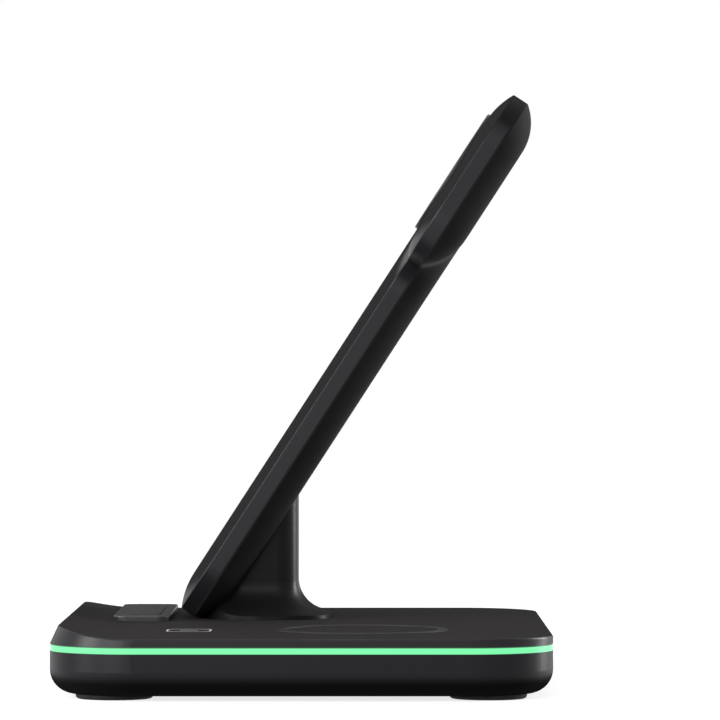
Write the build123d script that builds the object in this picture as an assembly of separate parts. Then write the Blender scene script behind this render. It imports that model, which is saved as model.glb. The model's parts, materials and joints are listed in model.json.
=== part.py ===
from build123d import *
import os
from math import asin, cos, radians, sin, sqrt

# Base, all sizes in mm
BASE_WIDTH = 148.0
BASE_DEPTH = 113.7
BASE_CORNER = 19.0
BASE_WALL = 2.4
FLOOR = 2.0
TRAY_HEIGHT = 9.6
TRAY_ROUND = 5.5
RING_HEIGHT = 1.6
RING_RECESS = 0.12
COVER_PLATE = 1.9
COVER_EDGE_ROUND = 0.45
LIP_RISE = 2.4
LIP_RUN = 17.0
LIP_LEAN = 2.0

# Feet and the screws under them
FOOT_DIAMETER = 17.5
FOOT_HEIGHT = 1.0
FOOT_SINK = 0.6
FOOT_ROUND = 0.8
FOOT_INSET = 14.8
BOSS_DIAMETER = 6.6
BOSS_SPLIT = 4.0
HEAD_SEAT_RISE = 1.5
SCREW_DIAMETER = 2.4
SCREW_HEAD = 4.6
SCREW_HEAD_HEIGHT = 1.5
SCREW_TIP_GAP = 0.6

# Lamps behind the light ring
LED_LENGTH = 3.0
LED_DEPTH = 0.8
LED_HEIGHT = 1.2
LED_PITCH = 16.0
LED_GAP = 0.1
FLEX_THICKNESS = 0.3
SKIRT_WALL = 1.2
SKIRT_DEPTH = 2.2

# Main board, what stands on it, and the inlet
BOARD_WIDTH = 40.0
BOARD_THICKNESS = 1.6
BOARD_REAR_GAP = 1.0
BOARD_FRONT_MARGIN = 4.9
BOARD_HOLE_SIDE = 3.5
BOARD_HOLE_END = 9.0
STANDOFF_DIAMETER = 5.0
STANDOFF_TIP_GAP = 0.2
CHIP_WIDTH = 7.0
CHIP_HEIGHT = 1.0
CHIP_SIDE = 8.5
CHIP_PITCH = 17.0
INDUCTOR_HEIGHT = 3.2
CONNECTOR_WIDTH = 9.0
CONNECTOR_DEPTH = 5.0
CONNECTOR_HEIGHT = 3.6
USB_WIDTH = 8.34
USB_DEPTH = 2.56
USB_WALL = 0.3
USB_LENGTH = 7.4
USB_BACK = 1.0
USB_RISE = 6.9
USB_SETBACK = 0.2
USB_CLEARANCE = 0.15
USB_RELIEF = 0.5
USB_TONGUE_SIDE = 0.85
USB_TONGUE_THICKNESS = 0.7
USB_TONGUE_SETBACK = 0.8
BALLAST_WIDTH = 48.0
BALLAST_THICKNESS = 2.5
BALLAST_SIDE_GAP = 16.0
BALLAST_END_GAP = 22.5

# Earbud place
EARBUD_INSET = 43.25
EARBUD_COIL_OUTER = 42.0
EARBUD_COIL_INNER = 18.0
EARBUD_MARGIN = 1.5
CARRIER_MARGIN = 3.0
CARRIER_PLATE = 1.5
CARRIER_LEG = 5.0
CARRIER_LEG_REACH = 12.6
COIL_THICKNESS = 1.2
FERRITE_THICKNESS = 0.8
GRIP_DIAMETER = 40.0
GRIP_WIDTH = 2.4
GRIP_SINK = 0.6
GRIP_PROUD = 0.25

# Arm and wing
ARM_TILT = 57.0
ARM_SIDE_GAP = 14.0
ARM_SETBACK = 25.38
ARM_WIDTH = 52.0
ARM_LENGTH = 143.2
ARM_THICKNESS = 10.9
ARM_FRONT = 5.4
ARM_CORNER = 13.0
ARM_INNER_CORNER = 8.0
ARM_PLATE = 2.4
ARM_WALL = 2.2
EDGE_RADIUS = 19.0
EDGE_DROP = 2.1
CREASE_ROUND = 0.3
BACK_RADIUS = 12.5
BACK_DROP = 5.0
TOE_GAP = 0.3
WING_HEIGHT = 43.7
WING_END = 22.0
WATCH_INSET = 40.0

# Phone coils and the arm's board
PHONE_COIL_OUTER = 42.0
PHONE_COIL_INNER = 19.0
PHONE_COIL_GAP = 1.5
PHONE_COIL_MIDDLE = 80.7
COIL_PLATE = 1.0
COIL_PLATE_SIDE = 1.2
COIL_PLATE_END = 2.0
COIL_LEG = 3.0
COIL_LEG_SIDE = 8.8
COIL_LEG_END = 4.0
ARM_BOARD_WIDTH = 22.0
ARM_BOARD_LENGTH = 30.0
ARM_BOARD_THICKNESS = 1.0
ARM_BOARD_GAP = 12.0
ARM_CHIP_WIDTH = 5.0
ARM_CHIP_HEIGHT = 0.9
ARM_CHIP_SIDE = 6.5
ARM_CHIP_END = 6.5

# Watch puck
PUCK_DIAMETER = 28.0
PUCK_CLEARANCE = 0.05
PUCK_FLANGE = 1.6
PUCK_FLANGE_HEIGHT = 0.8
PUCK_PROUD = 0.5
PUCK_DISH_DEPTH = 1.3
PUCK_RIM = 1.6
BEZEL_WIDTH = 1.5
BEZEL_SINK = 0.8
BEZEL_ROUND = 0.25
WATCH_MAGNET = 9.0
WATCH_COIL_GAP = 1.0
HOLDER_PLATE = 1.0
HOLDER_DIAMETER = 23.0
HOLDER_WALL = 2.0

# Post, its screws and the lead inside it
POST_WIDTH = 32.0
POST_REACH = 29.7
POST_CORNER = 5.0
POST_FLARE = 8.0
POST_FOOT = 0.9
POST_RIM = 0.1
POST_SCREW_REACH = 8.0
POST_SCREW_SPREAD = 11.0
POST_SCREW_SETBACK = 25.1
ARM_SCREW_LOW = 12.5
ARM_SCREW_PITCH = 10.0
ARM_SCREW_REACH = 6.5
LEAD_SETBACK = 19.1
LEAD_DIAMETER = 2.6
LEAD_HOLE = 6.0
LEAD_BEND = 6.0
LEAD_LIFT = 0.3

# Phone ledge and its cushion
LEDGE_WIDTH = 60.0
LEDGE_LENGTH = 13.5
LEDGE_GAP = 0.4
LEDGE_PROUD = 1.4
LEDGE_SINK = 0.8
LEDGE_CORNER = 3.0
LEDGE_ROUND = 0.4
CUSHION_SIDE = 4.0
CUSHION_END = 2.4
CUSHION_CORNER = 1.6
CUSHION_SINK = 0.8
CUSHION_PROUD = 0.3
CUSHION_ROUND = 0.25

# How far a cutter passes a face, and how near two points count as one
PAST = 1.0
TINY = 0.01

# Levels and places that follow from the sizes
Z_TRAY = FOOT_HEIGHT
Z_FLOOR = Z_TRAY + FLOOR
Z_RING = Z_TRAY + TRAY_HEIGHT
Z_COVER = Z_RING + RING_HEIGHT
Z_TOP = Z_COVER + COVER_PLATE
Z_SPLIT = Z_FLOOR + BOSS_SPLIT
FRONT_Y = -BASE_DEPTH / 2
REAR_Y = BASE_DEPTH / 2
HEAD_SEAT = Z_FLOOR + HEAD_SEAT_RISE
FLEX_INSET = BASE_WALL + LED_GAP + LED_DEPTH
SKIRT_INSET = FLEX_INSET + FLEX_THICKNESS
ARM_X = -BASE_WIDTH / 2 + ARM_SIDE_GAP + ARM_WIDTH / 2
ARM_FOOT_Y = FRONT_Y + ARM_SETBACK
WATCH_X = BASE_WIDTH / 2 - WATCH_INSET
LEAD_Y = ARM_FOOT_Y + LEAD_SETBACK
POST_REAR_Y = ARM_FOOT_Y + POST_REACH
EARBUD_Y = REAR_Y - EARBUD_INSET
LEDGE_Y = ARM_FOOT_Y - LEDGE_GAP - LEDGE_LENGTH / 2
LEDGE_TOP = Z_TOP + LEDGE_PROUD
USB_Z = Z_TRAY + USB_RISE
USB_OUTER_WIDTH = USB_WIDTH + 2 * USB_WALL
USB_OUTER_DEPTH = USB_DEPTH + 2 * USB_WALL
BOARD_TOP = USB_Z - USB_OUTER_DEPTH / 2
BOARD_BOTTOM = BOARD_TOP - BOARD_THICKNESS
BOARD_REAR_Y = REAR_Y - BASE_WALL - BOARD_REAR_GAP
BOARD_FRONT_Y = LEAD_Y - BOARD_FRONT_MARGIN
BOARD_LENGTH = BOARD_REAR_Y - BOARD_FRONT_Y
BOARD_Y = (BOARD_REAR_Y + BOARD_FRONT_Y) / 2
BALLAST_TOP = Z_FLOOR + BALLAST_THICKNESS
EARBUD_FERRITE_TOP = Z_COVER - COIL_THICKNESS
CARRIER_TOP = EARBUD_FERRITE_TOP - FERRITE_THICKNESS
CARRIER_BOTTOM = CARRIER_TOP - CARRIER_PLATE
BEZEL_DIAMETER = PUCK_DIAMETER + 2 * BEZEL_WIDTH
FLANGE_DIAMETER = PUCK_DIAMETER + 2 * PUCK_FLANGE

# The arm's own frame: x across, y up the slope, z out of the front face
COS_TILT = cos(radians(ARM_TILT))
SIN_TILT = sin(radians(ARM_TILT))
TOE_RISE = (ARM_THICKNESS - BACK_DROP) * COS_TILT
ARM_FOOT_Z = Z_TOP + TOE_GAP + TOE_RISE
ARM = Plane(
    origin=(0, ARM_FOOT_Y, ARM_FOOT_Z), x_dir=(1, 0, 0), z_dir=(0, -SIN_TILT, COS_TILT)
).location
ARM_BACK = -ARM_THICKNESS
ARM_INSIDE_BACK = ARM_BACK + ARM_WALL
WING_MIDDLE = ARM_LENGTH - WING_HEIGHT / 2
FERRITE_BACK = -ARM_PLATE - COIL_THICKNESS - FERRITE_THICKNESS
COIL_PLATE_BACK = FERRITE_BACK - COIL_PLATE
COIL_PAIR_LENGTH = 2 * PHONE_COIL_OUTER + PHONE_COIL_GAP
LEAD_DEEP = ARM_INSIDE_BACK + LEAD_DIAMETER / 2 + LEAD_LIFT
LEAD_RISE = (LEAD_SETBACK + LEAD_DEEP * SIN_TILT) / COS_TILT
ARM_BOARD_LOW = LEAD_RISE + ARM_BOARD_GAP
ARM_BOARD_MIDDLE = ARM_BOARD_LOW + ARM_BOARD_LENGTH / 2
FLANGE_BACK = -ARM_PLATE - PUCK_FLANGE_HEIGHT
WATCH_COIL_BACK = FLANGE_BACK - COIL_THICKNESS
WATCH_FERRITE_BACK = WATCH_COIL_BACK - FERRITE_THICKNESS
HOLDER_BACK = WATCH_FERRITE_BACK - HOLDER_PLATE

# Places of what repeats
BOTTOM = (Align.CENTER, Align.CENTER, Align.MIN)
SIDES = (-1, 1)
FOOT_PLACES = [
    (sx * (BASE_WIDTH / 2 - FOOT_INSET), sy * (BASE_DEPTH / 2 - FOOT_INSET))
    for sy in SIDES
    for sx in SIDES
]
BOARD_HOLES = [
    (
        ARM_X + sx * (BOARD_WIDTH / 2 - BOARD_HOLE_SIDE),
        BOARD_Y + sy * (BOARD_LENGTH / 2 - BOARD_HOLE_END),
    )
    for sx in SIDES
    for sy in SIDES
]
POST_SCREWS = [(ARM_X + s * POST_SCREW_SPREAD, ARM_FOOT_Y + POST_SCREW_SETBACK) for s in SIDES]
ARM_SCREWS = [
    (ARM_X + s * POST_SCREW_SPREAD, ARM_SCREW_LOW + row * ARM_SCREW_PITCH)
    for s in SIDES
    for row in (0, 1)
]
COIL_CENTRES = [PHONE_COIL_MIDDLE + s * (PHONE_COIL_OUTER + PHONE_COIL_GAP) / 2 for s in SIDES]
USB_PLANE = Plane(
    origin=(ARM_X, REAR_Y - USB_SETBACK, USB_Z), x_dir=(1, 0, 0), z_dir=(0, -1, 0)
)


# Helpers
def rod(x, y, low, high, diameter):
    return Pos(x, y, low) * Cylinder(diameter / 2, high - low, align=BOTTOM)


def block(x, y, low, width, length, height):
    return Pos(x, y, low) * Box(width, length, height, align=BOTTOM)


def disc_ring(x, y, low, high, outer, inner):
    return rod(x, y, low, high, outer) - rod(x, y, low - PAST, high + PAST, inner)


def group(solids):
    return Compound(children=list(solids))


def lowest_edges(body):
    return body.faces().sort_by(Axis.Z)[0].edges()


def highest_edges(body):
    return body.faces().sort_by(Axis.Z)[-1].edges()


def screw(x, y, seat, reach, direction):
    # The head lies on the seat and the shank runs in the direction given
    head_low = seat - SCREW_HEAD_HEIGHT if direction > 0 else seat
    low, high = sorted((seat, seat + direction * reach))
    head = rod(x, y, head_low, head_low + SCREW_HEAD_HEIGHT, SCREW_HEAD)
    return head + rod(x, y, low, high, SCREW_DIAMETER)


def base_block(inset, low, high):
    outline = RectangleRounded(
        BASE_WIDTH - 2 * inset, BASE_DEPTH - 2 * inset, BASE_CORNER - inset
    )
    return Pos(0, 0, low) * extrude(outline, high - low)


def base_loop(outside, inside, low, high):
    return base_block(outside, low, high) - base_block(inside, low - PAST, high + PAST)


# Base tray, feet and their screws
def usb_prism(width, height, near, far):
    outline = SlotOverall(width, height)
    return USB_PLANE.location * (Pos(0, 0, near) * extrude(outline, far - near))


def make_tray():
    outside = base_block(0, Z_TRAY, Z_RING)
    outside = fillet(lowest_edges(outside), TRAY_ROUND)
    pocket = base_block(BASE_WALL, Z_FLOOR, Z_RING + PAST)
    pocket = fillet(lowest_edges(pocket), TRAY_ROUND - BASE_WALL)
    tray = outside - pocket
    for x, y in FOOT_PLACES:
        tray += rod(x, y, Z_FLOOR, Z_SPLIT, BOSS_DIAMETER)
    for x, y in BOARD_HOLES:
        tray += rod(x, y, Z_FLOOR, BOARD_BOTTOM, STANDOFF_DIAMETER)
    for x, y in FOOT_PLACES:
        tray -= rod(x, y, Z_TRAY - PAST, Z_TRAY + FOOT_SINK, FOOT_DIAMETER)
        tray -= rod(x, y, Z_TRAY, HEAD_SEAT, SCREW_HEAD)
        tray -= rod(x, y, Z_TRAY, Z_SPLIT + PAST, SCREW_DIAMETER)
    for x, y in BOARD_HOLES:
        tray -= rod(x, y, Z_FLOOR, BOARD_BOTTOM + PAST, SCREW_DIAMETER)
    width = USB_OUTER_WIDTH + 2 * USB_CLEARANCE
    depth = USB_OUTER_DEPTH + 2 * USB_CLEARANCE
    tray -= usb_prism(width, depth, -USB_SETBACK - PAST, 2 * BASE_WALL)
    return tray - usb_prism(width + USB_RELIEF, depth + USB_RELIEF, -USB_SETBACK - PAST, USB_RELIEF)


def make_foot(x, y):
    foot = rod(x, y, 0, Z_TRAY + FOOT_SINK, FOOT_DIAMETER)
    return fillet(lowest_edges(foot), FOOT_ROUND)


def make_base_screws():
    reach = Z_COVER - 2 * SCREW_TIP_GAP - HEAD_SEAT
    return group(screw(x, y, HEAD_SEAT, reach, 1) for x, y in FOOT_PLACES)


# Base cover with the lip that turns up at the front
def cover_blank():
    crest = Z_TOP + LIP_RISE
    lower = Pos(0, 0, Z_COVER) * RectangleRounded(BASE_WIDTH, BASE_DEPTH, BASE_CORNER)
    upper = Pos(0, LIP_LEAN / 2, crest) * RectangleRounded(
        BASE_WIDTH, BASE_DEPTH - LIP_LEAN, BASE_CORNER
    )
    body = loft([lower, upper], ruled=True)
    run = LIP_RUN - LIP_LEAN
    radius = (run ** 2 + LIP_RISE ** 2) / (2 * LIP_RISE)
    half_turn = asin(run / radius) / 2
    start = (FRONT_Y + LIP_RUN, Z_TOP)
    end = (FRONT_Y + LIP_LEAN, crest)
    middle = (start[0] - radius * sin(half_turn), Z_TOP + radius * (1 - cos(half_turn)))
    behind = REAR_Y + PAST
    ahead = FRONT_Y - PAST
    profile = [
        Polyline(start, (behind, Z_TOP), (behind, 0), (ahead, 0), (ahead, crest), end),
        ThreePointArc(end, middle, start),
    ]
    return body & extrude(Plane.YZ * make_face(profile), BASE_WIDTH, both=True)


def top_rim_edges(body):
    # All edges of the upper side but the one that crosses it where the lip starts
    def on_rim(edge):
        middle = edge @ 0.5
        level = all((edge @ t).Z > Z_TOP - TINY for t in (0, 0.5, 1))
        clear_x = abs(middle.X) < BASE_WIDTH / 2 - BASE_CORNER
        clear_y = abs(middle.Y) < BASE_DEPTH / 2 - BASE_WALL
        return level and not (clear_x and clear_y)

    return body.edges().filter_by(on_rim)


def make_cover():
    cover = fillet(top_rim_edges(cover_blank()), COVER_EDGE_ROUND)
    cover += base_loop(SKIRT_INSET, SKIRT_INSET + SKIRT_WALL, Z_COVER - SKIRT_DEPTH, Z_COVER)
    for x, y in FOOT_PLACES:
        cover += rod(x, y, Z_SPLIT, Z_COVER, BOSS_DIAMETER)
    for x, y in FOOT_PLACES:
        cover -= rod(x, y, Z_SPLIT - PAST, Z_COVER - SCREW_TIP_GAP, SCREW_DIAMETER)
    for x, y in POST_SCREWS:
        cover -= rod(x, y, Z_COVER - PAST, Z_TOP + PAST, SCREW_DIAMETER)
    cover -= rod(ARM_X, LEAD_Y, Z_COVER - PAST, Z_TOP + PAST, LEAD_HOLE)
    cover -= ledge_blank(Z_TOP - LEDGE_SINK, Z_TOP + LIP_RISE + PAST)
    return cover - grip_ring(Z_TOP + PAST)


def grip_ring(high):
    inner = GRIP_DIAMETER - 2 * GRIP_WIDTH
    return disc_ring(WATCH_X, EARBUD_Y, Z_TOP - GRIP_SINK, high, GRIP_DIAMETER, inner)


# Phone ledge and its cushion
def ledge_blank(low, high):
    outline = RectangleRounded(LEDGE_WIDTH, LEDGE_LENGTH, LEDGE_CORNER)
    return Pos(ARM_X, LEDGE_Y, low) * extrude(outline, high - low)


def cushion_blank(high):
    width = LEDGE_WIDTH - 2 * CUSHION_SIDE
    outline = RectangleRounded(width, LEDGE_LENGTH - 2 * CUSHION_END, CUSHION_CORNER)
    low = LEDGE_TOP - CUSHION_SINK
    return Pos(ARM_X, LEDGE_Y, low) * extrude(outline, high - low)


def make_ledge():
    ledge = ledge_blank(Z_TOP - LEDGE_SINK, LEDGE_TOP)
    return fillet(highest_edges(ledge), LEDGE_ROUND) - cushion_blank(LEDGE_TOP + PAST)


def make_cushion():
    cushion = cushion_blank(LEDGE_TOP + CUSHION_PROUD)
    return fillet(highest_edges(cushion), CUSHION_ROUND)


# Lamps behind the light ring
def lamp_places(length):
    count = int((length - 2 * BASE_CORNER) // LED_PITCH) + 1
    return [(i - (count - 1) / 2) * LED_PITCH for i in range(count)]


def make_leds():
    inset = BASE_WALL + LED_GAP + LED_DEPTH / 2
    low = Z_RING + (RING_HEIGHT - LED_HEIGHT) / 2
    chips = []
    for side in SIDES:
        for x in lamp_places(BASE_WIDTH):
            y = side * (BASE_DEPTH / 2 - inset)
            chips.append(block(x, y, low, LED_LENGTH, LED_DEPTH, LED_HEIGHT))
        for y in lamp_places(BASE_DEPTH):
            x = side * (BASE_WIDTH / 2 - inset)
            chips.append(block(x, y, low, LED_DEPTH, LED_LENGTH, LED_HEIGHT))
    return group(chips)


# Main board, what stands on it, and the inlet
def make_board():
    board = block(ARM_X, BOARD_Y, BOARD_BOTTOM, BOARD_WIDTH, BOARD_LENGTH, BOARD_THICKNESS)
    for x, y in BOARD_HOLES:
        board -= rod(x, y, BOARD_BOTTOM - PAST, BOARD_TOP + PAST, SCREW_DIAMETER)
    return board


def make_board_screws():
    reach = BOARD_TOP - Z_FLOOR - STANDOFF_TIP_GAP
    return group(screw(x, y, BOARD_TOP, reach, -1) for x, y in BOARD_HOLES)


def board_blocks(side, rows, height):
    # Square components in a column beside the board's middle line
    return group(
        block(ARM_X + side * CHIP_SIDE, BOARD_Y + row * CHIP_PITCH, BOARD_TOP, CHIP_WIDTH, CHIP_WIDTH, height)
        for row in rows
    )


def make_connector():
    return block(ARM_X, LEAD_Y, BOARD_TOP, CONNECTOR_WIDTH, CONNECTOR_DEPTH, CONNECTOR_HEIGHT)


def make_usb_shell():
    tube = usb_prism(USB_OUTER_WIDTH, USB_OUTER_DEPTH, 0, USB_LENGTH)
    return tube - usb_prism(USB_WIDTH, USB_DEPTH, -PAST, USB_LENGTH - USB_BACK)


def make_usb_tongue():
    width = USB_WIDTH - 2 * USB_TONGUE_SIDE
    length = USB_LENGTH - USB_BACK - USB_TONGUE_SETBACK
    return USB_PLANE.location * block(0, 0, USB_TONGUE_SETBACK, width, USB_TONGUE_THICKNESS, length)


def make_ballast():
    x = BASE_WIDTH / 2 - BALLAST_SIDE_GAP - BALLAST_WIDTH / 2
    return block(x, 0, Z_FLOOR, BALLAST_WIDTH, BASE_DEPTH - 2 * BALLAST_END_GAP, BALLAST_THICKNESS)


# Earbud coil stack under the cover
def make_earbud_carrier():
    outer = EARBUD_COIL_OUTER + 2 * CARRIER_MARGIN
    plate = rod(WATCH_X, EARBUD_Y, CARRIER_BOTTOM, CARRIER_TOP, outer)
    for sx in SIDES:
        for sy in SIDES:
            x = WATCH_X + sx * CARRIER_LEG_REACH
            y = EARBUD_Y + sy * CARRIER_LEG_REACH
            plate += rod(x, y, BALLAST_TOP, CARRIER_BOTTOM, CARRIER_LEG)
    return plate


def make_earbud_ferrite():
    outer = EARBUD_COIL_OUTER + 2 * EARBUD_MARGIN
    return rod(WATCH_X, EARBUD_Y, CARRIER_TOP, EARBUD_FERRITE_TOP, outer)


def make_earbud_coil():
    return disc_ring(
        WATCH_X, EARBUD_Y, EARBUD_FERRITE_TOP, Z_COVER, EARBUD_COIL_OUTER, EARBUD_COIL_INNER
    )


# Outline of arm and wing, moved inwards by the inset
def flag_outline(inset):
    left = ARM_X - ARM_WIDTH / 2 + inset
    right = ARM_X + ARM_WIDTH / 2 - inset
    end = WATCH_X + WING_END - inset
    low = inset
    shoulder = ARM_LENGTH - WING_HEIGHT + inset
    high = ARM_LENGTH - inset
    corners = [(left, low), (right, low), (right, shoulder), (end, shoulder), (end, high), (left, high)]
    flag = make_face(Polyline(*corners, close=True))
    inner = flag.vertices().sort_by_distance((right, shoulder))[0]
    outer = [v for v in flag.vertices() if v != inner]
    flag = fillet(outer, ARM_CORNER - inset)
    inner = flag.vertices().sort_by_distance((right, shoulder))[0]
    return fillet(inner, ARM_INNER_CORNER + inset)


def flag_prism(inset, back, front):
    return Pos(0, 0, back) * extrude(flag_outline(inset), front - back)


def edge_run(radius, drop):
    # How far inwards a curved edge reaches before it meets the face
    return sqrt(2 * radius * drop - drop ** 2)


def flag_pillow(inset, level, seam, radius, drop, crease_round=0):
    # A plate from the seam to its face, with a curved edge along the whole outline
    run = edge_run(radius, drop)
    outward = 1 if level > seam else -1
    outline = flag_outline(inset).face()
    path = outline.outer_wire()
    start = path @ 0
    inward = Vector(0, 0, 1).cross(path % 0)
    if not outline.is_inside(start + inward * TINY):
        inward = inward * -1
    side = Plane(origin=start, x_dir=inward, z_dir=inward.cross(Vector(0, 0, 1)))
    turn = asin(run / radius) / 2
    middle = (run - radius * sin(turn), level - outward * radius * (1 - cos(turn)))
    crease = (0, level - outward * drop)
    section = make_face(
        [
            Polyline(crease, (0, seam), (run, seam), (run, level)),
            ThreePointArc((run, level), middle, crease),
        ]
    )
    if crease_round:
        section = fillet(section.vertices().sort_by_distance(crease)[0], crease_round)
    low, high = sorted((level, seam))
    return flag_prism(inset + run, low, high) + sweep(side * section, path=path)


# The two shells of arm and wing
def make_front_cover():
    front = flag_pillow(0, 0, -ARM_FRONT, EDGE_RADIUS, EDGE_DROP, CREASE_ROUND)
    front -= flag_prism(ARM_WALL, -ARM_FRONT - PAST, -ARM_PLATE)
    front -= rod(WATCH_X, WING_MIDDLE, -ARM_PLATE - PAST, PAST, PUCK_DIAMETER + 2 * PUCK_CLEARANCE)
    front -= rod(WATCH_X, WING_MIDDLE, -BEZEL_SINK, PAST, BEZEL_DIAMETER)
    return ARM * front


def lead_hole():
    return rod(ARM_X, LEAD_Y, Z_COVER, Z_TOP + ARM_LENGTH / 2, LEAD_HOLE)


def make_back_shell():
    # The pocket's curved edge keeps the wall's thickness
    shell = flag_pillow(0, ARM_BACK, -ARM_FRONT, BACK_RADIUS, BACK_DROP, CREASE_ROUND)
    radius = BACK_RADIUS - ARM_WALL
    drop = -ARM_FRONT - ARM_INSIDE_BACK
    inset = edge_run(BACK_RADIUS, BACK_DROP) - edge_run(radius, drop)
    shell -= flag_pillow(inset, ARM_INSIDE_BACK, -ARM_FRONT + PAST, radius, drop)
    for x, v in ARM_SCREWS:
        shell -= rod(x, v, ARM_BACK - PAST, ARM_INSIDE_BACK + PAST, SCREW_DIAMETER)
    passage = ARM.inverse() * lead_hole()
    passage = passage & flag_prism(ARM_WALL, ARM_BACK - PAST, ARM_INSIDE_BACK + PAST)
    return ARM * (shell - passage)


def make_arm_screws():
    return ARM * group(
        screw(x, v, ARM_INSIDE_BACK, ARM_SCREW_REACH, -1) for x, v in ARM_SCREWS
    )


# Post between base and arm
def toe_back_y(z):
    # Where the curved back of the arm's toe stands at a level
    centre = (ARM * Pos(0, edge_run(BACK_RADIUS, BACK_DROP), ARM_BACK + BACK_RADIUS)).position
    return centre.Y + sqrt(BACK_RADIUS ** 2 - (z - centre.Z) ** 2)


def post_block(flare, front, height):
    length = POST_REAR_Y + flare - front
    outline = RectangleRounded(POST_WIDTH + 2 * flare, length, POST_CORNER + flare)
    return Pos(ARM_X, front + length / 2, Z_TOP) * extrude(outline, height)


def make_post():
    # Stem and foot start ahead of the arm's toe and are trimmed back to a rounded front
    step = Z_TOP + POST_FOOT
    front = toe_back_y(step)
    ahead = front - 2 * (POST_CORNER + POST_FLARE)
    stem = post_block(0, ahead + POST_FLARE, ARM_LENGTH)
    post = stem + post_block(POST_FLARE, ahead, POST_FOOT)
    inner = stem.bounding_box()

    def at_joint(edge):
        point = edge @ 0.5
        inside = abs(point.X - ARM_X) < POST_WIDTH / 2 + TINY
        between = inner.min.Y - TINY < point.Y < inner.max.Y + TINY
        return abs(point.Z - step) < TINY and inside and between

    post = fillet(post.edges().filter_by(at_joint), POST_FLARE - POST_RIM)
    post = post & post_block(POST_FLARE, front, ARM_LENGTH)
    # It ends at the arm's rear shell, all along the toe's curve
    reach = ARM_LENGTH + BASE_DEPTH
    behind = Pos(ARM_X, 0, -ARM_FRONT) * Box(
        BASE_WIDTH, 2 * reach, reach, align=(Align.CENTER, Align.CENTER, Align.MAX)
    )
    behind -= flag_pillow(0, ARM_BACK, -ARM_FRONT + PAST, BACK_RADIUS, BACK_DROP)
    post = (post & (ARM * behind)) - lead_hole()
    for x, y in POST_SCREWS:
        post -= rod(x, y, Z_TOP - PAST, Z_TOP + POST_SCREW_REACH + PAST, SCREW_DIAMETER)
    deep = ARM_INSIDE_BACK - ARM_SCREW_REACH - PAST
    for x, v in ARM_SCREWS:
        post -= ARM * rod(x, v, deep, ARM_BACK + PAST, SCREW_DIAMETER)
    return post


def make_post_screws():
    return group(screw(x, y, Z_COVER, COVER_PLATE + POST_SCREW_REACH, 1) for x, y in POST_SCREWS)


def make_lead():
    # Straight up through the post, then along the arm to its board
    start = Vector(ARM_X, LEAD_Y, BOARD_TOP + CONNECTOR_HEIGHT)
    corner = (ARM * Pos(ARM_X, LEAD_RISE, LEAD_DEEP)).position
    end = (ARM * Pos(ARM_X, ARM_BOARD_LOW, LEAD_DEEP)).position
    path = FilletPolyline(start, corner, end, radius=LEAD_BEND)
    section = Plane(origin=start, z_dir=(0, 0, 1)) * Circle(LEAD_DIAMETER / 2)
    return sweep(section, path=path)


# Coils and boards in the arm
def make_coil_carrier():
    width = ARM_WIDTH - 2 * ARM_WALL - 2 * COIL_PLATE_SIDE
    length = COIL_PAIR_LENGTH + 2 * COIL_PLATE_END
    plate = block(ARM_X, PHONE_COIL_MIDDLE, COIL_PLATE_BACK, width, length, COIL_PLATE)
    for sx in SIDES:
        for sv in (-1, 0, 1):
            x = ARM_X + sx * (width / 2 - COIL_LEG_SIDE)
            v = PHONE_COIL_MIDDLE + sv * (length / 2 - COIL_LEG_END)
            plate += rod(x, v, ARM_INSIDE_BACK, COIL_PLATE_BACK, COIL_LEG)
    return ARM * plate


def make_phone_ferrite():
    return ARM * block(
        ARM_X, PHONE_COIL_MIDDLE, FERRITE_BACK, PHONE_COIL_OUTER, COIL_PAIR_LENGTH, FERRITE_THICKNESS
    )


def arm_coil(x, v, front, outer, inner):
    return ARM * disc_ring(x, v, front - COIL_THICKNESS, front, outer, inner)


def make_arm_board():
    return ARM * block(
        ARM_X, ARM_BOARD_MIDDLE, ARM_INSIDE_BACK, ARM_BOARD_WIDTH, ARM_BOARD_LENGTH, ARM_BOARD_THICKNESS
    )


def make_arm_chips():
    low = ARM_INSIDE_BACK + ARM_BOARD_THICKNESS
    places = [
        (ARM_X + sx * ARM_CHIP_SIDE, ARM_BOARD_MIDDLE + sv * ARM_CHIP_END)
        for sx in SIDES
        for sv in SIDES
    ]
    return ARM * group(
        block(x, v, low, ARM_CHIP_WIDTH, ARM_CHIP_WIDTH, ARM_CHIP_HEIGHT) for x, v in places
    )


# Watch puck stack in the wing
def wing_rod(low, high, diameter):
    return rod(WATCH_X, WING_MIDDLE, low, high, diameter)


def make_puck():
    puck = wing_rod(FLANGE_BACK, PUCK_PROUD, PUCK_DIAMETER)
    puck += wing_rod(FLANGE_BACK, -ARM_PLATE, FLANGE_DIAMETER)
    radius = PUCK_DIAMETER / 2 - PUCK_RIM
    ball = (radius ** 2 + PUCK_DISH_DEPTH ** 2) / (2 * PUCK_DISH_DEPTH)
    puck -= Pos(WATCH_X, WING_MIDDLE, PUCK_PROUD - PUCK_DISH_DEPTH + ball) * Sphere(ball)
    return ARM * puck


def make_bezel():
    inner = PUCK_DIAMETER + 2 * PUCK_CLEARANCE
    ring = disc_ring(WATCH_X, WING_MIDDLE, -BEZEL_SINK, PUCK_PROUD, BEZEL_DIAMETER, inner)
    return ARM * fillet(highest_edges(ring), BEZEL_ROUND)


def make_watch_holder():
    plate = wing_rod(HOLDER_BACK, WATCH_FERRITE_BACK, FLANGE_DIAMETER)
    inner = HOLDER_DIAMETER - 2 * HOLDER_WALL
    wall = disc_ring(WATCH_X, WING_MIDDLE, ARM_INSIDE_BACK, HOLDER_BACK, HOLDER_DIAMETER, inner)
    return ARM * (plate + wall)


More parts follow.
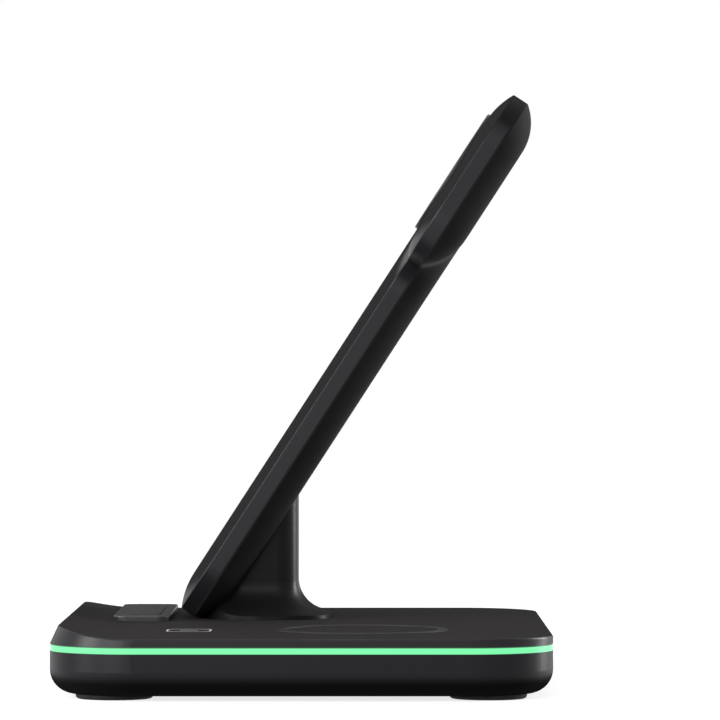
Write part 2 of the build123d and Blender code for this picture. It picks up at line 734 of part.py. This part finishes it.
def make_watch_coil():
    outer = PUCK_DIAMETER - 2 * WATCH_COIL_GAP
    inner = WATCH_MAGNET + 2 * WATCH_COIL_GAP
    return arm_coil(WATCH_X, WING_MIDDLE, FLANGE_BACK, outer, inner)


nodes = {
    "base_tray": make_tray(),
    "base_cover": make_cover(),
    "light_ring": base_loop(RING_RECESS, BASE_WALL, Z_RING, Z_COVER),
    "led_flex": base_loop(FLEX_INSET, SKIRT_INSET, Z_RING, Z_COVER),
    "led_chips": make_leds(),
    "base_screws": make_base_screws(),
    "main_board": make_board(),
    "board_screws": make_board_screws(),
    "control_chips": board_blocks(-1, (-1, 0, 1), CHIP_HEIGHT),
    "power_inductors": board_blocks(1, (-1, 0), INDUCTOR_HEIGHT),
    "lead_connector": make_connector(),
    "usb_shell": make_usb_shell(),
    "usb_tongue": make_usb_tongue(),
    "ballast_plate": make_ballast(),
    "earbud_carrier": make_earbud_carrier(),
    "earbud_ferrite": make_earbud_ferrite(),
    "earbud_coil": make_earbud_coil(),
    "earbud_grip": grip_ring(Z_TOP + GRIP_PROUD),
    "phone_ledge": make_ledge(),
    "ledge_cushion": make_cushion(),
    "support_post": make_post(),
    "post_screws": make_post_screws(),
    "arm_lead": make_lead(),
    "arm_back_shell": make_back_shell(),
    "arm_front_cover": make_front_cover(),
    "arm_screws": make_arm_screws(),
    "coil_carrier": make_coil_carrier(),
    "phone_ferrite": make_phone_ferrite(),
    "arm_board": make_arm_board(),
    "arm_chips": make_arm_chips(),
    "watch_puck": make_puck(),
    "watch_bezel": make_bezel(),
    "watch_coil": make_watch_coil(),
    "watch_magnet": ARM * wing_rod(WATCH_COIL_BACK, FLANGE_BACK, WATCH_MAGNET),
    "watch_ferrite": ARM * wing_rod(WATCH_FERRITE_BACK, WATCH_COIL_BACK, PUCK_DIAMETER),
    "watch_holder": make_watch_holder(),
}
for name, centre in zip(("phone_coil_lower", "phone_coil_upper"), COIL_CENTRES):
    nodes[name] = arm_coil(ARM_X, centre, -ARM_PLATE, PHONE_COIL_OUTER, PHONE_COIL_INNER)
for number, (x, y) in enumerate(FOOT_PLACES, 1):
    nodes[f"foot_{number}"] = make_foot(x, y)

os.makedirs("parts", exist_ok=True)
for name, shape in nodes.items():
    export_step(shape, f"parts/{name}.step")
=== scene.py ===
import json
import math

import bmesh
import bpy
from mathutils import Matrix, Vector


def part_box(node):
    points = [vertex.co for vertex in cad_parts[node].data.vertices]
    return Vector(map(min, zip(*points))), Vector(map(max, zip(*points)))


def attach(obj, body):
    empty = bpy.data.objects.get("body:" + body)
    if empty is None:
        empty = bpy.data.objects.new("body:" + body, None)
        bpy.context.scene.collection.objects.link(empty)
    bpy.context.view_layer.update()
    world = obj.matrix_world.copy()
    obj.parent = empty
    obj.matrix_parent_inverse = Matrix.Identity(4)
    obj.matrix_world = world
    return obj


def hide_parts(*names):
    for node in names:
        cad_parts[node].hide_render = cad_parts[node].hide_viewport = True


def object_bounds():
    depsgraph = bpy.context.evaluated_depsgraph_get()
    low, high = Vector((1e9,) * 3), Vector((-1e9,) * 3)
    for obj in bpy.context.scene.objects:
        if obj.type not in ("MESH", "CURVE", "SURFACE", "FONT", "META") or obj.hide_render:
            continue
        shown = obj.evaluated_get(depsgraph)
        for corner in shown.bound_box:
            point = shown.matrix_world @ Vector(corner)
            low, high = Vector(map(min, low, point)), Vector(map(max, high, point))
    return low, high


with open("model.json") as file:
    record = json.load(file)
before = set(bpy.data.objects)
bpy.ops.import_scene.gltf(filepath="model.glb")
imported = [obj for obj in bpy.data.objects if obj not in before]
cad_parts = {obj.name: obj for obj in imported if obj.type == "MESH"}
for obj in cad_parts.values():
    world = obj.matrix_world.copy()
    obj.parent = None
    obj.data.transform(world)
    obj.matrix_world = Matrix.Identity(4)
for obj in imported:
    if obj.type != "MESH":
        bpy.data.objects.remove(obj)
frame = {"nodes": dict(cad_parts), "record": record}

CAD_LOW, CAD_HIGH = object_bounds()
NODES = frame["nodes"]
MM = 0.001

# Camera: level, square to the wing's end, as far off as the photograph's perspective says
CAMERA_DISTANCE = 1163 * MM
CAMERA_Y = 13.2 * MM
CAMERA_Z = 76.1 * MM
CAMERA_REACH = 100
PICTURE_PIXELS = 720
PIXELS_PER_MM = 4.5
SENSOR_MM = 36.0

# Light levels, where 1 is white, and the distances over which the floor turns into the background
WORLD_FILL = 0.40
FLOOR_TONE = 0.40
FLOOR_LIFT = 0.76
FLOOR_NEAR = 0.25
FLOOR_FAR = 0.9
FLOOR_SIZE = 30.0

# Softboxes: place, width and height in metres, and radiance
TARGET = Vector((0, 0, 0.06))
SOFTBOXES = {
    "softbox_front": ((0.58, -0.31, 0.10), 0.36, 0.30, 6.0),
    "softbox_high": ((1.25, -0.15, 0.62), 0.80, 0.40, 2.4),
    "softbox_left": ((0.50, -1.07, 0.46), 0.60, 0.90, 10.0),
    "softbox_right": ((-0.55, 1.06, 0.25), 0.30, 1.00, 20.0),
    "softbox_top": ((-0.10, -0.10, 1.20), 0.70, 0.70, 1.5),
}

# Colors
DEEP_BLACK = (0.0060, 0.0058, 0.0080)
SATIN_BLACK = (0.0080, 0.0079, 0.0098)
# Painted shade: the base's underside is darker than its sides
UNDERSIDE_SHADE_BLACK = (0.004, 0.004, 0.004)
COVER_BLACK = (0.0190, 0.0172, 0.0184)
ARM_BLACK = (0.0090, 0.0088, 0.0096)
REAR_BLACK = (0.0110, 0.0110, 0.0116)
PUCK_BLACK = (0.012, 0.012, 0.013)
LEDGE_BLACK = (0.0190, 0.0180, 0.0196)
POST_BLACK = (0.0070, 0.0070, 0.0076)
RUBBER_BLACK = (0.008, 0.008, 0.008)
RIM_BLACK = (0.0150, 0.0142, 0.0150)
BEZEL_GREY = (0.05, 0.05, 0.054)
STEEL = (0.58, 0.58, 0.59)
COPPER = (0.72, 0.34, 0.19)
GOLD = (0.8, 0.56, 0.2)
INK, INK_THIN, INK_THICK = (0.40, 0.40, 0.41), (0.34, 0.34, 0.35), (0.46, 0.46, 0.47)
BOARD, BOARD_DARK, BOARD_LIGHT = (0.02, 0.11, 0.05), (0.012, 0.075, 0.035), (0.03, 0.16, 0.075)
GUIDE_UNLIT = (0.02, 0.05, 0.03)
GLOW = (0.195, 0.935, 0.395)

# Mouldings with two finishes, by slot and by node: name, the two heights of the surface normal between which
# one turns into the other, and each finish as color, roughness and specular level
SATIN = (SATIN_BLACK, 0.33, 0.24)
SLOT_MOULDINGS = {
    # Under the base the matte colour is darker as painted shade where the surface faces down
    "base_black": ("base_shell", (0.0, -0.55), (DEEP_BLACK, 0.31, 0.15), (UNDERSIDE_SHADE_BLACK, 0.85, 0.02)),
    "cover_black": ("soft_cover", (0.8, 0.97), (SATIN_BLACK, 0.33, 0.21), (COVER_BLACK, 0.85, 0.15)),
    "arm_black": ("arm_shell", (0.24, 0.42), SATIN, (ARM_BLACK, 0.68, 0.05)),
    "puck_black": ("puck_face", (-0.2, 0.2), SATIN, (PUCK_BLACK, 0.50, 0.16)),
}
NODE_MOULDINGS = {
    "phone_ledge": ("ledge_satin", (0.70, 0.97), (LEDGE_BLACK, 0.30, 0.50), (LEDGE_BLACK, 0.62, 0.30)),
    "support_post": ("post_shell", (0.2, 0.6), (POST_BLACK, 0.33, 0.10), (POST_BLACK, 0.60, 0.05)),
}
TWO_FINISH_GRAIN = (0.3 * MM, 0.004 * MM)

# Mouldings with one finish: color, roughness, specular level, and the grain's size and depth
REAR_SHELL = (REAR_BLACK, 0.72, 0.05, (0.3 * MM, 0.006 * MM))
INNER_MOULDINGS = {
    "lamp_white": ((0.8, 0.78, 0.6), 0.3, 0.5, (0.2 * MM, 0.002 * MM)),
    "flex_white": ((0.75, 0.75, 0.72), 0.45, 0.5, (0.3 * MM, 0.002 * MM)),
    "chip_black": ((0.02, 0.02, 0.02), 0.6, 0.4, (0.2 * MM, 0.01 * MM)),
    "inner_plastic": ((0.04, 0.04, 0.042), 0.55, 0.4, (0.3 * MM, 0.006 * MM)),
    "ferrite": ((0.06, 0.06, 0.065), 0.6, 0.4, (0.3 * MM, 0.01 * MM)),
}

# Where the noise has most of its values
NOISE_LOW = 0.3
NOISE_HIGH = 0.7

# Shine that fades edge-on: how far the surface is turned away at its start and end, and what is left
FADE_START = 0.5
FADE_END = 0.95
FADE_LEFT = 0.08

# The lit band lies a little low in the light guide, a painted shadow of the cover's edge over its top, and
# dims between two shares of its half height, painted shade in the gaps at its edges
GLOW_DROP = 0.09 * MM
GLOW_FULL = 0.74
GLOW_DIM = 0.92
GLOW_LEFT = 0.06

# Print on the base: a plain rounded outline with a short bar
MARK_X = 37.0 * MM
MARK_Y = -26.0 * MM
MARK_WIDTH = 11.5 * MM
MARK_LENGTH = 10.3 * MM
MARK_LINE = 0.45 * MM
MARK_CORNER = 2.6 * MM
MARK_BAR = 4.2 * MM
MARK_BAR_CORNER = 0.49 * MARK_LINE
MARK_BAR_STEPS = 4
MARK_RISE = 0.02 * MM

# Gold contacts on the inlet's tongue
CONTACTS = 12
CONTACT_WIDTH = 0.28 * MM
CONTACT_LENGTH = 2.6 * MM
CONTACT_CORNER = 0.3 * CONTACT_WIDTH
CONTACT_STEPS = 2
CONTACT_RISE = 0.03 * MM

# Soft pieces: how far they are crowned and rounded, and their play in what holds them
PAD_CROWN = 0.12 * MM
PAD_ROUND = 0.25 * MM
PAD_CORNER = 1.6 * MM
PAD_LEAST_CORNER = 0.2 * MM
PAD_TOP_HALF = 0.4 * MM
PAD_RINGS = 12
RIM_CROWN = 0.2 * MM
RIM_STEPS = 14
SOFT_PLAY = 0.03 * MM
GRIP_WIDTH = 2.4 * MM

# The puck, measured from the plane of its rim, with a tiny eye where its dish is turned
PUCK_RADIUS = 14.0 * MM
PUCK_RIM = 1.6 * MM
PUCK_EDGE = 0.3 * MM
PUCK_DISH = 1.3 * MM
PUCK_EYE = 0.05 * MM
PUCK_NECK = 2.9 * MM
PUCK_FLANGE = 15.6 * MM
PUCK_DEEP = 3.7 * MM
PUCK_STEPS = 16

# Fineness of turned and rounded pieces, and the angle from which an edge stays sharp
TURNS = 160
CORNER_STEPS = 10
SHARP_ANGLE = math.radians(30)


# Shader helpers
def add_node(owner, kind, **values):
    node = owner.node_tree.nodes.new(kind)
    for name, value in values.items():
        node.inputs[name].default_value = value
    return node


def join(owner, output, target):
    owner.node_tree.links.new(output, target)


def shader_of(material):
    return material.node_tree.nodes["Principled BSDF"]


def plain_material(name, color, roughness, specular=0.5, metallic=0.0):
    material = bpy.data.materials.new(name)
    material.use_nodes = True
    shader = shader_of(material)
    shader.inputs["Base Color"].default_value = (*color, 1)
    shader.inputs["Roughness"].default_value = roughness
    shader.inputs["Specular IOR Level"].default_value = specular
    shader.inputs["Metallic"].default_value = metallic
    return material


def ranged(owner, value, start, end, low, high, eased=False):
    # Low to high as the value goes from start to end
    node = add_node(owner, "ShaderNodeMapRange")
    if eased:
        node.interpolation_type = "SMOOTHSTEP"
    for name, number in (("From Min", start), ("From Max", end), ("To Min", low), ("To Max", high)):
        node.inputs[name].default_value = number
    join(owner, value, node.inputs["Value"])
    return node.outputs["Result"]


def between(owner, factor, low, high):
    return ranged(owner, factor, 0, 1, low, high)


def calculate(owner, operation, *values):
    # One step of arithmetic on numbers and node outputs
    node = add_node(owner, "ShaderNodeMath")
    node.operation = operation
    for value, socket in zip(values, node.inputs):
        if isinstance(value, float):
            socket.default_value = value
        else:
            join(owner, value, socket)
    return node.outputs["Value"]


def height_of(material, output):
    # The upward part of a direction or place
    split = add_node(material, "ShaderNodeSeparateXYZ")
    join(material, output, split.inputs["Vector"])
    return split.outputs["Z"]


def noise(material, size, detail=3.0):
    # Noise in the object's own metres, with patches of about that size
    place = add_node(material, "ShaderNodeTexCoord")
    texture = add_node(material, "ShaderNodeTexNoise", Scale=1 / size, Detail=detail)
    join(material, place.outputs["Object"], texture.inputs["Vector"])
    return texture.outputs["Fac"]


def spread_noise(material, size, low, high):
    return ranged(material, noise(material, size), NOISE_LOW, NOISE_HIGH, low, high)


def mix_colors(material, factor, first, second):
    mix = add_node(material, "ShaderNodeMix")
    mix.data_type = "RGBA"
    colors = [s for s in mix.inputs if s.type == "RGBA"]
    colors[0].default_value = (*first, 1)
    colors[1].default_value = (*second, 1)
    join(material, factor, mix.inputs["Factor"])
    return next(s for s in mix.outputs if s.type == "RGBA")


def vary_color(material, factor, first, second):
    join(material, mix_colors(material, factor, first, second), shader_of(material).inputs["Base Color"])


def mottle(material, color, size, amount):
    # Soft patches that are a little darker and lighter than the color
    patches = spread_noise(material, size, 0, 1)
    vary_color(material, patches, shade(color, 1 - amount), shade(color, 1 + amount))


def vary_roughness(material, size, low, high):
    join(material, spread_noise(material, size, low, high), shader_of(material).inputs["Roughness"])


def add_bump(material, value, depth, before=None):
    bump = add_node(material, "ShaderNodeBump", Distance=depth)
    join(material, value, bump.inputs["Height"])
    if before:
        join(material, before.outputs["Normal"], bump.inputs["Normal"])
    join(material, bump.outputs["Normal"], shader_of(material).inputs["Normal"])
    return bump


def shade(color, factor):
    return tuple(c * factor for c in color)


# Materials
def fade_edge_on(material, specular):
    # Fades the shine where the surface turns edge-on, so that rims don't mirror the white background
    weight = add_node(material, "ShaderNodeLayerWeight", Blend=0.5)
    fade = ranged(material, weight.outputs["Facing"], FADE_START, FADE_END, 1.0, FADE_LEFT, eased=True)
    faded = calculate(material, "MULTIPLY", fade, specular)
    join(material, faded, shader_of(material).inputs["Specular IOR Level"])


def add_grain(material, size, depth):
    # Fine spark-eroded grain over a faint waviness
    waves = add_bump(material, noise(material, size=9 * MM, detail=1.0), depth=0.003 * MM)
    add_bump(material, noise(material, size, detail=4.0), depth, waves)


def moulded_plastic(name, color, roughness, specular, grain):
    material = plain_material(name, color, roughness, specular)
    mottle(material, color, size=38 * MM, amount=0.1)
    vary_roughness(material, size=6 * MM, low=roughness - 0.03, high=roughness + 0.03)
    add_grain(material, *grain)
    return material


def two_finish(name, slope, satin, matte):
    # One moulding whose satin finish turns matte as its surface turns from one slope to the other; where the
    # matte colour is darker, as under the base, that darker colour is painted shade
    (color, roughness, specular), (matte_color_and_shade, matte_roughness, matte_specular) = satin, matte
    material = plain_material(name, color, roughness, specular)
    add_grain(material, *TWO_FINISH_GRAIN)
    place = add_node(material, "ShaderNodeNewGeometry")
    height = height_of(material, place.outputs["Normal"])
    factor = ranged(material, height, *slope, 0, 1, eased=True)
    # Satin colour to matte colour; under the base this paints shade
    vary_color(material, factor, color, matte_color_and_shade)
    rough = between(material, factor, roughness, matte_roughness)
    join(material, rough, shader_of(material).inputs["Roughness"])
    fade_edge_on(material, between(material, factor, specular, matte_specular))
    return material


def rubber(name, color):
    material = plain_material(name, color, roughness=0.8, specular=0.25)
    mottle(material, color, size=4 * MM, amount=0.2)
    vary_roughness(material, size=1.5 * MM, low=0.72, high=0.88)
    add_bump(material, noise(material, size=0.35 * MM, detail=4.0), depth=0.02 * MM)
    return material


def silicone(name, color):
    # Soft to the touch: no grain, a faint bloom and small dimples
    material = plain_material(name, color, roughness=0.62)
    mottle(material, color, size=5 * MM, amount=0.08)
    vary_roughness(material, size=2 * MM, low=0.56, high=0.68)
    fade_edge_on(material, spread_noise(material, size=3 * MM, low=0.25, high=0.35))
    add_bump(material, noise(material, size=0.25 * MM, detail=2.0), depth=0.006 * MM)
    return material


def light_guide():
    # Lit all over, and dim at its two edges: painted shade in the gaps beside it, deepest under the cover's
    # edge
    material = plain_material("lit_guide", GUIDE_UNLIT, roughness=0.35, specular=0.2)
    shader = shader_of(material)
    shader.inputs["Emission Color"].default_value = (*GLOW, 1)
    shader.inputs["Emission Strength"].default_value = 1.0
    low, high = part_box("light_ring")
    half = (high.z - low.z) / 2
    place = add_node(material, "ShaderNodeTexCoord")
    height = height_of(material, place.outputs["Object"])
    above = calculate(material, "SUBTRACT", height, (low.z + high.z) / 2 - GLOW_DROP)
    away = calculate(material, "ABSOLUTE", above)
    # Painted shade at the guide's two edges
    edge = ranged(material, away, half * GLOW_FULL, half * GLOW_DIM, 0, 1)
    glow = mix_colors(material, edge, GLOW, shade(GLOW, GLOW_LEFT))
    join(material, glow, shader.inputs["Emission Color"])
    return material


def satin_metal(name, color, roughness, grain=0.12 * MM, depth=0.002 * MM):
    material = plain_material(name, color, roughness, metallic=1.0)
    vary_roughness(material, size=0.8 * MM, low=roughness - 0.06, high=roughness + 0.08)
    add_bump(material, noise(material, grain), depth)
    return material


def wound_copper():
    # Grain stands for the turns of wire
    return satin_metal("wound_copper", COPPER, roughness=0.32, grain=0.25 * MM, depth=0.05 * MM)


def circuit_board():
    material = plain_material("circuit_board", BOARD, roughness=0.35)
    vary_color(material, spread_noise(material, 1.6 * MM, 0, 1), BOARD_DARK, BOARD_LIGHT)
    add_bump(material, noise(material, size=0.8 * MM), depth=0.01 * MM)
    return material


def printed_ink():
    material = plain_material("printed_ink", INK, roughness=0.55, specular=0.3)
    vary_color(material, spread_noise(material, 0.6 * MM, 0, 1), INK_THIN, INK_THICK)
    return material


def make_materials():
    materials = {
        "light_guide": light_guide(),
        "rubber_black": rubber("soft_rubber", RUBBER_BLACK),
        "bezel_dark": satin_metal("dark_bezel", BEZEL_GREY, roughness=0.50),
        "board_green": circuit_board(),
        "copper": wound_copper(),
        "steel": satin_metal("satin_steel", STEEL, roughness=0.3),
    }
    for slot, row in SLOT_MOULDINGS.items():
        materials[slot] = two_finish(*row)
    for slot, row in INNER_MOULDINGS.items():
        materials[slot] = moulded_plastic(slot, *row)
    return materials


def dress_nodes(materials):
    for row in frame["record"]["subparts"]:
        node = NODES[row["node"]]
        node.data.materials.clear()
        node.data.materials.append(materials[row["material_slot"]])
    for name, row in NODE_MOULDINGS.items():
        NODES[name].data.materials[0] = two_finish(*row)
    NODES["arm_back_shell"].data.materials[0] = moulded_plastic("rear_shell", *REAR_SHELL)


# Mesh pieces
def link_piece(name, mesh, material):
    piece = bpy.data.objects.new(name, mesh)
    bpy.context.scene.collection.objects.link(piece)
    piece.data.materials.append(material)
    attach(piece, "root")
    return piece


def rounded_outline(width, length, corner, steps=CORNER_STEPS):
    points = []
    for turn, (sx, sy) in enumerate(((1, 1), (-1, 1), (-1, -1), (1, -1))):
        middle = Vector((sx * (width / 2 - corner), sy * (length / 2 - corner)))
        for step in range(steps + 1):
            angle = math.radians(90) * (turn + step / steps)
            points.append(middle + corner * Vector((math.cos(angle), math.sin(angle))))
    return points


def add_outline_band(mesh, middle, outer, inner, low, high):
    # A closed flat band between two outlines with as many points
    rings = []
    for outline, level in ((outer, low), (outer, high), (inner, high), (inner, low)):
        rings.append([mesh.verts.new((middle.x + p.x, middle.y + p.y, level)) for p in outline])
    count = len(outer)
    for near, far in zip(rings, rings[1:] + rings[:1]):
        for i in range(count):
            j = (i + 1) % count
            mesh.faces.new((near[i], near[j], far[j], far[i]))


def add_plate(mesh, middle, outline, low, high):
    loops = []
    for level in (low, high):
        loops.append([(middle.x + p.x, middle.y + p.y, level) for p in outline])
    add_loops(mesh, loops)


def add_loops(mesh, loops):
    # A closed skin through loops with as many points, capped at both ends
    rows = [[mesh.verts.new(point) for point in loop] for loop in loops]
    for near, far in zip(rows, rows[1:]):
        for i in range(len(near)):
            j = (i + 1) % len(near)
            mesh.faces.new((near[i], near[j], far[j], far[i]))
    mesh.faces.new(list(reversed(rows[0])))
    mesh.faces.new(rows[-1])


def add_turned(mesh, section, place, axis):
    # A section of radius and height turned round an axis, with its ends joined to each other
    across = axis.orthogonal().normalized()
    along = axis.cross(across)
    rings = []
    for k in range(TURNS):
        turn = 2 * math.pi * k / TURNS
        way = math.cos(turn) * across + math.sin(turn) * along
        rings.append([mesh.verts.new(place + r * way + z * axis) for r, z in section])
    for near, far in zip(rings, rings[1:] + rings[:1]):
        for i in range(len(section)):
            j = (i + 1) % len(section)
            mesh.faces.new((near[i], far[i], far[j], near[j]))


def finish_mesh(mesh, name):
    bmesh.ops.recalc_face_normals(mesh, faces=mesh.faces[:])
    data = bpy.data.meshes.new(name)
    mesh.to_mesh(data)
    mesh.free()
    return data


def smooth(piece):
    for face in piece.data.polygons:
        face.use_smooth = True
    piece.data.set_sharp_from_angle(angle=SHARP_ANGLE)


def mount_of(name):
    return next(m for m in frame["record"]["mounts"] if m["name"] == name)


def make_mark(ink):
    # On the flat of the base cover, which a mount of the part lies on
    low = mount_of("earbud_place")["pos_m"][2]
    high = low + MARK_RISE
    middle = Vector((MARK_X, MARK_Y))
    outer = rounded_outline(MARK_WIDTH, MARK_LENGTH, MARK_CORNER)
    inner_width = MARK_WIDTH - 2 * MARK_LINE
    inner_length = MARK_LENGTH - 2 * MARK_LINE
    inner = rounded_outline(inner_width, inner_length, MARK_CORNER - MARK_LINE)
    bar = rounded_outline(MARK_LINE, MARK_BAR, MARK_BAR_CORNER, MARK_BAR_STEPS)
    mesh = bmesh.new()
    add_outline_band(mesh, middle, outer, inner, low, high)
    add_plate(mesh, middle, bar, low, high)
    link_piece("touch_mark", finish_mesh(mesh, "touch_mark"), ink)


def make_contacts(gold):
    # Two rows of contacts, above and below the inlet's tongue
    low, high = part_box("usb_tongue")
    pitch = (high.x - low.x) / CONTACTS
    outline = rounded_outline(CONTACT_WIDTH, CONTACT_LENGTH, CONTACT_CORNER, CONTACT_STEPS)
    mesh = bmesh.new()
    for k in range(CONTACTS):
        x = low.x + (k + 0.5) * pitch
        middle = Vector((x, high.y - CONTACT_LENGTH / 2 - CONTACT_WIDTH))
        add_plate(mesh, middle, outline, high.z, high.z + CONTACT_RISE)
        add_plate(mesh, middle, outline, low.z - CONTACT_RISE, low.z)
    link_piece("inlet_contacts", finish_mesh(mesh, "inlet_contacts"), gold)


def make_pad(material):
    # The ledge's soft pad: a rounded rim and a low crown, in a recess
    low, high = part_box("ledge_cushion")
    middle = (low + high) / 2
    width = high.x - low.x - 2 * SOFT_PLAY
    length = high.y - low.y - 2 * SOFT_PLAY
    rim = high.z - PAD_CROWN
    levels = [(0, low.z)]
    for step in range(PAD_RINGS + 1):
        angle = math.radians(90) * step / PAD_RINGS
        levels.append((PAD_ROUND * (1 - math.cos(angle)), rim - PAD_ROUND * (1 - math.sin(angle))))
    most = length / 2 - PAD_TOP_HALF
    for step in range(1, PAD_RINGS + 1):
        part = step / PAD_RINGS
        inset = PAD_ROUND + (most - PAD_ROUND) * part
        levels.append((inset, rim + PAD_CROWN * (1 - (1 - part) ** 2)))
    loops = []
    for inset, level in levels:
        corner = max(PAD_CORNER - inset, PAD_LEAST_CORNER)
        outline = rounded_outline(width - 2 * inset, length - 2 * inset, corner)
        loops.append([(middle.x + p.x, middle.y + p.y, level) for p in outline])
    mesh = bmesh.new()
    add_loops(mesh, loops)
    piece = link_piece("phone_pad", finish_mesh(mesh, "phone_pad"), material)
    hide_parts("ledge_cushion")
    smooth(piece)


def make_rim(material):
    # The soft ring on the base, with a rounded back that stands out of its groove
    low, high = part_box("earbud_grip")
    middle = (low + high) / 2
    outer = (high.x - low.x) / 2 - SOFT_PLAY
    wide = GRIP_WIDTH - 2 * SOFT_PLAY
    section = [(outer, low.z)]
    for step in range(RIM_STEPS + 1):
        angle = math.radians(180) * step / RIM_STEPS
        reach = outer - wide / 2 + wide / 2 * math.cos(angle)
        section.append((reach, high.z - RIM_CROWN * (1 - math.sin(angle))))
    section.append((outer - wide, low.z))
    mesh = bmesh.new()
    add_turned(mesh, section, Vector((middle.x, middle.y, 0)), Vector((0, 0, 1)))
    piece = link_piece("earbud_rim", finish_mesh(mesh, "earbud_rim"), material)
    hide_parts("earbud_grip")
    smooth(piece)


def make_puck(material):
    # The puck with an even dish, a softened rim and the flange behind the wing's front
    mount = mount_of("watch_dish")
    dish = PUCK_RADIUS - PUCK_RIM
    ball = (dish ** 2 + PUCK_DISH ** 2) / (2 * PUCK_DISH)
    section = []
    for step in range(PUCK_STEPS + 1):
        reach = PUCK_EYE + (dish - PUCK_EDGE - PUCK_EYE) * step / PUCK_STEPS
        section.append((reach, ball - PUCK_DISH - math.sqrt(ball ** 2 - reach ** 2)))
    for step in range(PUCK_STEPS + 1):
        angle = math.radians(90) * step / PUCK_STEPS
        reach = PUCK_RADIUS - PUCK_EDGE * (1 - math.sin(angle))
        section.append((reach, -PUCK_EDGE * (1 - math.cos(angle))))
    section.append((PUCK_RADIUS, -PUCK_NECK))
    section.append((PUCK_FLANGE, -PUCK_NECK))
    section.append((PUCK_FLANGE, -PUCK_DEEP))
    section.append((PUCK_EYE, -PUCK_DEEP))
    mesh = bmesh.new()
    add_turned(mesh, section, Vector(mount["pos_m"]), Vector(mount["axis"]).normalized())
    piece = link_piece("watch_puck_dish", finish_mesh(mesh, "watch_puck_dish"), material)
    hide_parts("watch_puck")
    smooth(piece)


# Stage
def seen_rays(owner):
    # 1 for rays that show the background: straight from the camera, mirrored or through glass
    path = add_node(owner, "ShaderNodeLightPath")
    total = path.outputs["Is Camera Ray"]
    for name in ("Is Glossy Ray", "Is Transmission Ray"):
        total = calculate(owner, "MAXIMUM", total, path.outputs[name])
    return total


def make_world():
    world = bpy.data.worlds.new("studio")
    bpy.context.scene.world = world
    world.use_nodes = True
    background = world.node_tree.nodes["Background"]
    background.inputs["Color"].default_value = (1, 1, 1, 1)
    join(world, between(world, seen_rays(world), WORLD_FILL, 1), background.inputs["Strength"])


def floor_distance(material):
    # 0 near the object and 1 where the floor turns into the plain background
    place = add_node(material, "ShaderNodeTexCoord")
    length = add_node(material, "ShaderNodeVectorMath")
    length.operation = "LENGTH"
    join(material, place.outputs["Object"], length.inputs[0])
    return ranged(material, length.outputs["Value"], FLOOR_NEAR, FLOOR_FAR, 0, 1, eased=True)


def make_floor():
    half = FLOOR_SIZE / 2
    corners = [(-half, -half, 0), (half, -half, 0), (half, half, 0), (-half, half, 0)]
    mesh = bpy.data.meshes.new("floor")
    mesh.from_pydata(corners, [], [(0, 1, 2, 3)])
    floor = bpy.data.objects.new("floor", mesh)
    bpy.context.scene.collection.objects.link(floor)
    tone = (FLOOR_TONE, FLOOR_TONE, FLOOR_TONE)
    material = plain_material("pale_floor", tone, roughness=0.9, specular=0.0)
    shader = shader_of(material)
    shader.inputs["Emission Color"].default_value = (1, 1, 1, 1)
    far = floor_distance(material)
    join(material, between(material, far, FLOOR_TONE, 0), shader.inputs["Base Color"])
    lift = calculate(material, "MULTIPLY", seen_rays(material), between(material, far, FLOOR_LIFT, 1))
    join(material, lift, shader.inputs["Emission Strength"])
    mesh.materials.append(material)


def make_softbox(name, place, width, height, radiance):
    light = bpy.data.lights.new(name, "AREA")
    light.shape = "RECTANGLE"
    light.size = width
    light.size_y = height
    light.energy = radiance * math.pi * width * height
    lamp = bpy.data.objects.new(name, light)
    bpy.context.scene.collection.objects.link(lamp)
    lamp.location = place
    lamp.rotation_euler = (TARGET - Vector(place)).to_track_quat("-Z", "Y").to_euler()
    lamp.visible_camera = False


def make_lights():
    for name, row in SOFTBOXES.items():
        make_softbox(name, *row)


def make_camera():
    data = bpy.data.cameras.new("camera")
    data.sensor_width = SENSOR_MM
    focal_pixels = PIXELS_PER_MM * CAMERA_DISTANCE / MM
    data.lens = SENSOR_MM * focal_pixels / PICTURE_PIXELS
    data.clip_end = CAMERA_REACH
    camera = bpy.data.objects.new("camera", data)
    bpy.context.scene.collection.objects.link(camera)
    camera.location = (CAD_HIGH.x + CAMERA_DISTANCE, CAMERA_Y, CAMERA_Z)
    camera.rotation_euler = (math.radians(90), 0, math.radians(90))
    bpy.context.scene.camera = camera


materials = make_materials()
dress_nodes(materials)
make_mark(printed_ink())
make_contacts(satin_metal("contact_gold", GOLD, roughness=0.25))
make_pad(silicone("pad_silicone", LEDGE_BLACK))
make_rim(silicone("rim_silicone", RIM_BLACK))
make_puck(materials["puck_black"])
make_world()
make_floor()
make_lights()
make_camera()
bpy.context.scene.view_settings.view_transform = "Standard"
